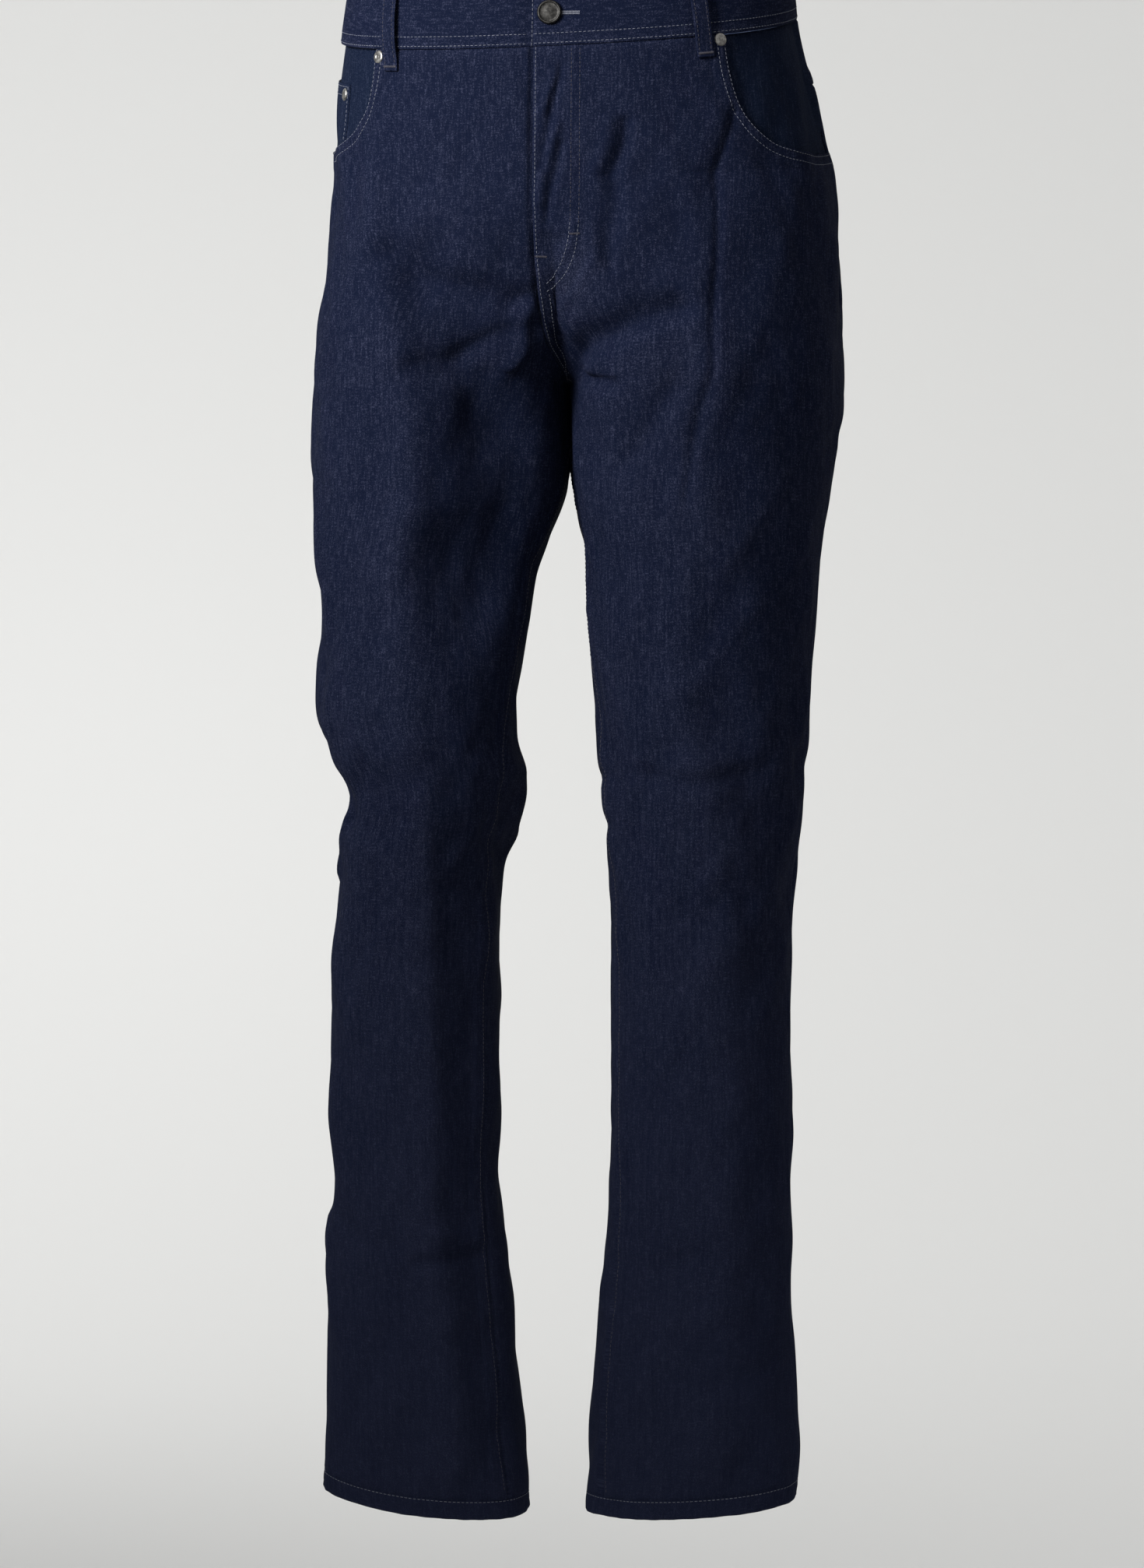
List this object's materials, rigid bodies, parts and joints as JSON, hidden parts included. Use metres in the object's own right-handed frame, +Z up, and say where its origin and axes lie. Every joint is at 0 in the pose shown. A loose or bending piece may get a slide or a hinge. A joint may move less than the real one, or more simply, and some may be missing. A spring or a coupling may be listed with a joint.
{
  "type": "slim fit jeans",
  "caption": "Slim fit five-pocket jeans in dark denim, worn form: straight left leg, right knee bent forward, buttoned waistband with belt loops.",
  "frame": {"origin": "centre of the waist opening, in the plane of the waistband's upper edge, where the wearer holds the garment", "axes": "+Z up from the legs to the waist, -Y towards the front (the fly), +X towards the wearer's left"},
  "size_m": [0.3752, 0.27, 1.1188],
  "materials": {
    "denim": "dark indigo twill, matt, with a faint vertical slub",
    "denim_under": "the same twill on the pocket facings and the coin pocket, in shade",
    "nickel": "aged nickel rivets, satin",
    "gunmetal": "dark gunmetal button, satin with worn edges"
  },
  "bodies": {
    "root": {"front_left": "denim", "back_left": "denim", "yoke_left": "denim", "pocket_facing_left": "denim_under", "back_pocket_left": "denim", "hem_left": "denim", "rivet_pocket_left": "nickel", "front_right": "denim", "back_right": "denim", "yoke_right": "denim", "pocket_facing_right": "denim_under", "back_pocket_right": "denim", "hem_right": "denim", "rivet_pocket_right": "nickel", "coin_pocket": "denim_under", "waistband": "denim", "belt_loop_front_left": "denim", "belt_loop_front_right": "denim", "belt_loop_side_left": "denim", "belt_loop_side_right": "denim", "belt_loop_back": "denim", "rivet_coin_pocket": "nickel", "waist_button": "gunmetal"}
  },
  "joints": []
}
